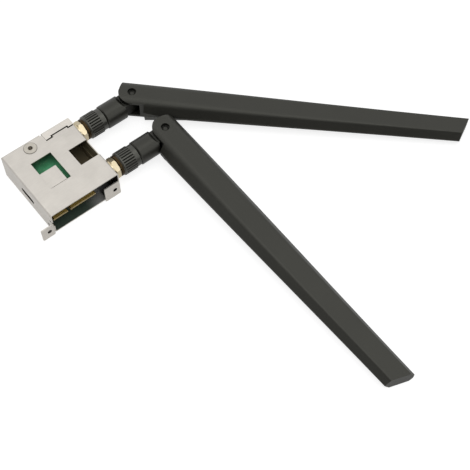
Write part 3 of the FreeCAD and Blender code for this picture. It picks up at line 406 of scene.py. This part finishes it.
# each black plastic's specular level, and how much smoother it is than the blades
PLASTICS = {
    # hinge_plastic and groove_plastic are shaded copies with less sheen, as painted shade
    "black_plastic": (0.56, 0.0), "hinge_plastic": (0.12, 0.0), "groove_plastic": (0.2, 0.0),
    "collar_plastic": (0.88, 0.14), "base_plastic": (0.5, 0.12),
}
PLASTIC_TINT = (1.0, 1.0, 0.90, 1.0)
PLASTIC_DARK, PLASTIC_LIGHT = (0.0125, 0.0122, 0.0100), (0.0165, 0.0162, 0.0135)
SPECKLE_TONE, SPECKLE_SHARE = (0.026, 0.0255, 0.022), 0.3
GAP_SHADE, GAP_REACH = (0.08, 0.08, 0.08), 3.0


def black_plastic(name):
    """Fine-grained moulding, with painted shade in its gaps."""
    gloss, polish = PLASTICS[name]
    look = Shader(name, roughness=0.46, Specular_IOR_Level=gloss, Specular_Tint=PLASTIC_TINT)
    grain = look.noise(scale=2600.0, detail=3.0)
    clouds = look.noise(scale=60.0, detail=3.0)
    speckles = look.spread(grain, 0.0, SPECKLE_SHARE)
    face = look.mix(speckles, look.tones(clouds, PLASTIC_DARK, PLASTIC_LIGHT), SPECKLE_TONE)
    gaps = look.tones(look.openness(GAP_REACH), GAP_SHADE, WHITE, low=0.35, high=0.8)
    look.color(look.mix(1.0, face, gaps, "MULTIPLY"))
    look.roughness(look.spread(grain, 0.40 - polish, 0.58 - polish))
    look.bump(grain, depth_mm=0.02, strength=0.35)
    return look.material


# Which look goes where

LOOKS = {
    "sheet_steel": sheet_steel, "flap_steel": sheet_steel, "rivet_steel": rivet_steel,
    "plated_steel": plated_steel, "circuit_board": circuit_board, "gold_plate": gold_plate,
    "contact_gold": contact_gold, "brass": plain_brass, "white_insulator": white_insulator,
    "cable_jacket": cable_jacket, **dict.fromkeys(PLASTICS, black_plastic),
}
# nodes that wear another look than their material slot's
OWN_LOOKS = {
    "edge_contacts": "contact_gold", "lower_cage": "flap_steel", "card_spacer": "rivet_steel",
    "rear_collar": "collar_plastic", "front_collar": "collar_plastic",
    "rear_swivel_base": "base_plastic", "front_swivel_base": "base_plastic",
}
# the sides of the bases' tongues, in the hinges, are duller than the rest, as painted shade: a copy of the
# plastic with less sheen
HINGED = ("rear_swivel_base", "front_swivel_base")
HINGE_FROM = 37.9 * MM
# the grooves between the collars' ribs get that painted shade too: the collars' axes, then the ribs' radius,
# depth and ends along X
RIBBED = {"rear_collar": 12.6 * MM, "front_collar": -10.5 * MM}
AXIS_HEIGHT = 6.2 * MM
RIB_R, RIB_DEPTH, RIB_FROM, RIB_TO = 5.06 * MM, 0.3 * MM, 21.3 * MM, 26.7 * MM
GROOVE_FROM = 0.2 * RIB_DEPTH


def in_hinge(face):
    return abs(face.normal.z) < STANDING and face.center.x > HINGE_FROM


def in_groove(face, axis_y):
    sunk = RIB_R - math.hypot(face.center.y - axis_y, face.center.z - AXIS_HEIGHT)
    return GROOVE_FROM < sunk < RIB_DEPTH and RIB_FROM < face.center.x < RIB_TO


def add_look(node, look, chosen):
    """Gives a node's chosen faces a second look."""
    mesh = NODES[node].data
    mesh.materials.append(look)
    for face in mesh.polygons:
        face.material_index = int(chosen(face))


def dress_nodes():
    looks = {name: build(name) for name, build in LOOKS.items()}
    for part in frame["record"]["subparts"]:
        node = part["node"]
        mesh = NODES[node].data
        mesh.materials.clear()
        mesh.materials.append(looks[OWN_LOOKS.get(node, part["material_slot"])])
    for node in HINGED:
        add_look(node, looks["hinge_plastic"], in_hinge)
    for node, axis_y in RIBBED.items():
        add_look(node, looks["groove_plastic"], lambda face: in_groove(face, axis_y))


# Stage, in metres

FLOOR_SIZE = 3.0
FLOOR_PLACE = (0.06, -0.04, 0.0)
FLOOR_TONE = 0.45
# added to the floor's own brightness as the camera sees it, and as reflections do
FLOOR_GLOW = 0.80
FLOOR_SHEEN = 0.47
# the floor left of the cage is whiter in reflections, for the cage's wall
REFLECTOR_PLACE = (-0.03, 0.0, 0.0)
REFLECTOR_EDGE, REFLECTOR_FADE = 0.03, 0.09
REFLECTOR_SHEEN = 0.55


def add_floor():
    bpy.ops.mesh.primitive_plane_add(size=FLOOR_SIZE, location=FLOOR_PLACE)
    floor = bpy.context.object
    floor.name = "floor"
    material = bpy.data.materials.new("floor")
    material.use_nodes = True
    material.node_tree.nodes.clear()
    look = Tree(material.node_tree)
    ray = look.node("ShaderNodeLightPath").outputs
    place = look.node("ShaderNodeNewGeometry").outputs["Position"]
    sheen = look.ranged(look.vector_math("DISTANCE", place, REFLECTOR_PLACE),
                        REFLECTOR_EDGE, REFLECTOR_FADE, REFLECTOR_SHEEN, FLOOR_SHEEN)
    seen = look.math("MULTIPLY", ray["Is Camera Ray"], FLOOR_GLOW)
    mirrored = look.math("MULTIPLY", ray["Is Glossy Ray"], sheen)
    glow = look.node("ShaderNodeEmission", {"Strength": look.math("ADD", seen, mirrored)})
    matte = look.node("ShaderNodeBsdfDiffuse", {"Color": (FLOOR_TONE, FLOOR_TONE, FLOOR_TONE)})
    total = look.node("ShaderNodeAddShader", {0: matte.outputs[0], 1: glow.outputs[0]})
    look.node("ShaderNodeOutputMaterial", {"Surface": total.outputs[0]})
    floor.data.materials.append(material)


# the world's strength as light, and in reflections
WORLD_LIGHT = 0.55
WORLD_SHEEN = 1.25
# the photographer's side of the studio is dark near the horizon
DARK_SIDE = (-0.72, -0.69, 0.0)
DARK_FROM = 0.0
DARK_FULL = 0.8
DARK_LEVEL = 0.04


def add_world():
    world = bpy.data.worlds.new("studio")
    bpy.context.scene.world = world
    world.use_nodes = True
    world.node_tree.nodes.clear()
    sky = Tree(world.node_tree)
    ray = sky.node("ShaderNodeLightPath").outputs
    mirrored = sky.math("MAXIMUM", ray["Is Glossy Ray"], ray["Is Transmission Ray"])
    seen = sky.math("MAXIMUM", ray["Is Camera Ray"], mirrored)
    level = sky.ranged(seen, 0.0, 1.0, WORLD_LIGHT, WORLD_SHEEN)
    place = sky.node("ShaderNodeTexCoord").outputs["Generated"]
    dark = sky.ranged(sky.vector_math("DOT_PRODUCT", place, DARK_SIDE),
                      DARK_FROM, DARK_FULL, 1.0, DARK_LEVEL, "SMOOTHSTEP")
    # the camera itself sees white on every side
    strength = sky.math("MAXIMUM", sky.math("MULTIPLY", level, dark), ray["Is Camera Ray"])
    back = sky.node("ShaderNodeBackground", {"Strength": strength})
    sky.node("ShaderNodeOutputWorld", {"Surface": back.outputs[0]})


LAMPS = (
    # name, place, size, watts
    ("overhead", (-0.15, -0.20, 0.90), 1.1, 3.8),
    ("front", (0.42, -0.76, 0.42), 0.62, 1.1),
)
AIM = Vector((0.06, -0.03, 0.0))


def add_lamps():
    for name, place, size, watts in LAMPS:
        light = bpy.data.lights.new(name, "AREA")
        light.energy = watts
        light.size = size
        lamp = bpy.data.objects.new(name, light)
        lamp.location = place
        lamp.rotation_euler = (AIM - Vector(place)).to_track_quat("-Z", "Y").to_euler()
        bpy.context.scene.collection.objects.link(lamp)


# Camera fitted to the photograph, with its angles in degrees
CAMERA_PLACE = Vector((-91.25, -224.52, 350.87)) * MM
CAMERA_YAW = 38.704
CAMERA_PITCH = 59.355
CAMERA_REACH = 10.0
IMAGE_SIZE = 470
FOCAL_PIXELS = 1041.36
SENSOR_WIDTH = 36.0


def add_camera():
    camera = bpy.data.cameras.new("camera")
    camera.sensor_width = SENSOR_WIDTH
    camera.lens = FOCAL_PIXELS * SENSOR_WIDTH / IMAGE_SIZE
    camera.clip_end = CAMERA_REACH
    seen = bpy.data.objects.new("camera", camera)
    yaw, pitch = math.radians(CAMERA_YAW), math.radians(CAMERA_PITCH)
    ahead = Vector((math.sin(yaw) * math.cos(pitch), math.cos(yaw) * math.cos(pitch), -math.sin(pitch)))
    right = Vector((math.cos(yaw), -math.sin(yaw), 0.0))
    up = right.cross(ahead)
    turn = Matrix((right, up, -ahead)).transposed().to_4x4()
    seen.matrix_world = Matrix.Translation(CAMERA_PLACE) @ turn
    bpy.context.scene.collection.objects.link(seen)
    bpy.context.scene.camera = seen


bpy.context.scene.view_settings.view_transform = "Standard"
dress_nodes()
add_floor()
add_world()
add_lamps()
add_camera()
